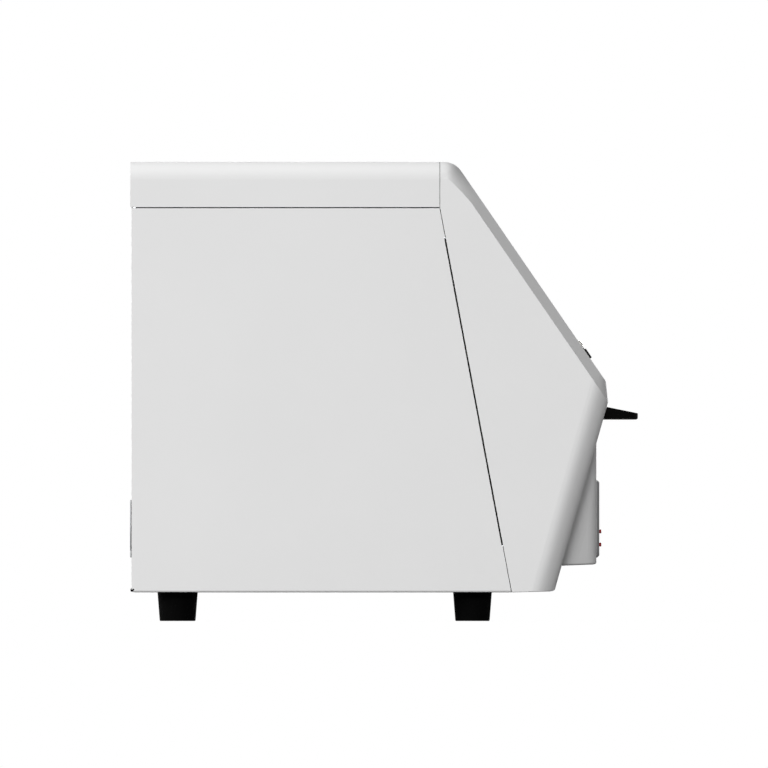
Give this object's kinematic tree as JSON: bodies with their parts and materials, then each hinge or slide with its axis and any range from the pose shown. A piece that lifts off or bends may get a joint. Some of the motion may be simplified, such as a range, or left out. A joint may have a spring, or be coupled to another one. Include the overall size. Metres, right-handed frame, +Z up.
{
  "type": "reflow oven",
  "caption": "Bench-top reflow oven with a sloped viewing window, a pull-out board drawer on telescopic slides, a control pod and rubber feet.",
  "frame": {"origin": "on the bench, under the middle of the oven's box", "axes": "+X sideways, -Y out of the front, +Z up"},
  "size_m": [0.56, 0.5096, 0.459],
  "materials": {
    "panel_paint": "satin",
    "shell_paint": "satin",
    "frame_steel": "satin",
    "chamber_steel": "satin",
    "rack_wire": "polished",
    "rubber_black": "matte",
    "gasket_silicone": "matte",
    "screw_steel": "satin",
    "ceramic_wool": "matte",
    "heater_quartz": "gloss",
    "heater_ceramic": "matte",
    "motor_steel": "satin",
    "window_glass": "gloss",
    "window_black": "matte",
    "black_plastic": "satin",
    "control_plate": "satin",
    "display": "gloss",
    "circuit": "satin",
    "lamp_red": "gloss",
    "lamp_pale": "gloss",
    "key_rubber": "matte",
    "supply_metal": "satin",
    "lead_black": "matte"
  },
  "bodies": {
    "housing": {"base_pan": "panel_paint", "rear_panel": "panel_paint", "side_panel_left": "panel_paint", "side_panel_right": "panel_paint", "top_cover": "panel_paint", "front_shell": "shell_paint", "side_frames": "frame_steel", "chamber_casing": "frame_steel", "chamber_stands": "frame_steel", "slide_fixed_rails": "frame_steel", "chamber_floor": "chamber_steel", "chamber_front_wall": "chamber_steel", "chamber_window_wall": "chamber_steel", "chamber_roof": "chamber_steel", "chamber_rear_wall": "chamber_steel", "chamber_wall_left": "chamber_steel", "chamber_wall_right": "chamber_steel", "mouth_frame": "chamber_steel", "air_baffle": "chamber_steel", "fan_guard": "rack_wire", "rubber_feet": "rubber_black", "fixing_screws": "screw_steel", "thermocouples": "screw_steel", "chamber_insulation": "ceramic_wool", "heater_tubes": "heater_quartz", "heater_sockets": "heater_ceramic", "blower_motor": "motor_steel", "window_glass": "window_glass", "inner_glass": "window_glass", "window_retainer": "window_black", "window_tunnel": "window_black", "switch_body": "black_plastic", "fan_frame": "black_plastic", "power_inlet": "black_plastic", "solid_state_relays": "black_plastic", "control_plate": "control_plate", "display_lens": "display", "control_board": "circuit", "display_module": "circuit", "indicator_leds": "lamp_red", "pilot_lamp": "lamp_pale", "power_supply": "supply_metal", "heat_sink": "supply_metal", "wiring": "lead_black"},
    "drawer": {"drawer_front": "shell_paint", "drawer_handle": "black_plastic", "drawer_back_plate": "chamber_steel", "drawer_plug": "chamber_steel", "drawer_gasket": "gasket_silicone", "drawer_rack": "rack_wire", "slide_inner_rails": "frame_steel"},
    "slide_middle": {"slide_middle_rails": "frame_steel"},
    "blower": {"blower_shaft": "screw_steel", "blower_wheel": "motor_steel"},
    "cooling_rotor": {"fan_rotor": "black_plastic"},
    "power_rocker": {"switch_rocker": "black_plastic"},
    "key_up": {"key_up": "key_rubber"},
    "key_down": {"key_down": "key_rubber"},
    "key_start": {"key_start": "key_rubber"},
    "key_stop": {"key_stop": "key_rubber"}
  },
  "joints": [
    {"name": "drawer_slide", "type": "slide", "parent": "housing", "child": "drawer", "axis": [0, -1, 0], "range_m": [0, 0.28]},
    {"name": "middle_rail_slide", "type": "slide", "parent": "housing", "child": "slide_middle", "axis": [0, -1, 0], "range_m": [0, 0.14]},
    {"name": "blower_spin", "type": "hinge", "parent": "housing", "child": "blower", "pos_m": [0, 0.15255, 0.236], "axis": [0, 1, 0], "continuous": true},
    {"name": "cooling_fan_spin", "type": "hinge", "parent": "housing", "child": "cooling_rotor", "pos_m": [-0.17, 0.23855, 0.0925], "axis": [0, 1, 0], "continuous": true},
    {"name": "power_rocker_tilt", "type": "hinge", "parent": "housing", "child": "power_rocker", "pos_m": [-0.215, -0.20031, 0.26671], "axis": [0, 0.5668, 0.8239], "range_deg": [-14, 0]},
    {"name": "key_up_press", "type": "slide", "parent": "housing", "child": "key_up", "axis": [0, 1, 0], "range_m": [0, 0.001], "stiffness_N_per_m": 600, "springref_m": -0.0006},
    {"name": "key_down_press", "type": "slide", "parent": "housing", "child": "key_down", "axis": [0, 1, 0], "range_m": [0, 0.001], "stiffness_N_per_m": 600, "springref_m": -0.0006},
    {"name": "key_start_press", "type": "slide", "parent": "housing", "child": "key_start", "axis": [0, 1, 0], "range_m": [0, 0.001], "stiffness_N_per_m": 600, "springref_m": -0.0006},
    {"name": "key_stop_press", "type": "slide", "parent": "housing", "child": "key_stop", "axis": [0, 1, 0], "range_m": [0, 0.001], "stiffness_N_per_m": 600, "springref_m": -0.0006}
  ],
  "couplings": [
    {"joint": "middle_rail_slide", "follows": "drawer_slide", "ratio": 0.5}
  ]
}
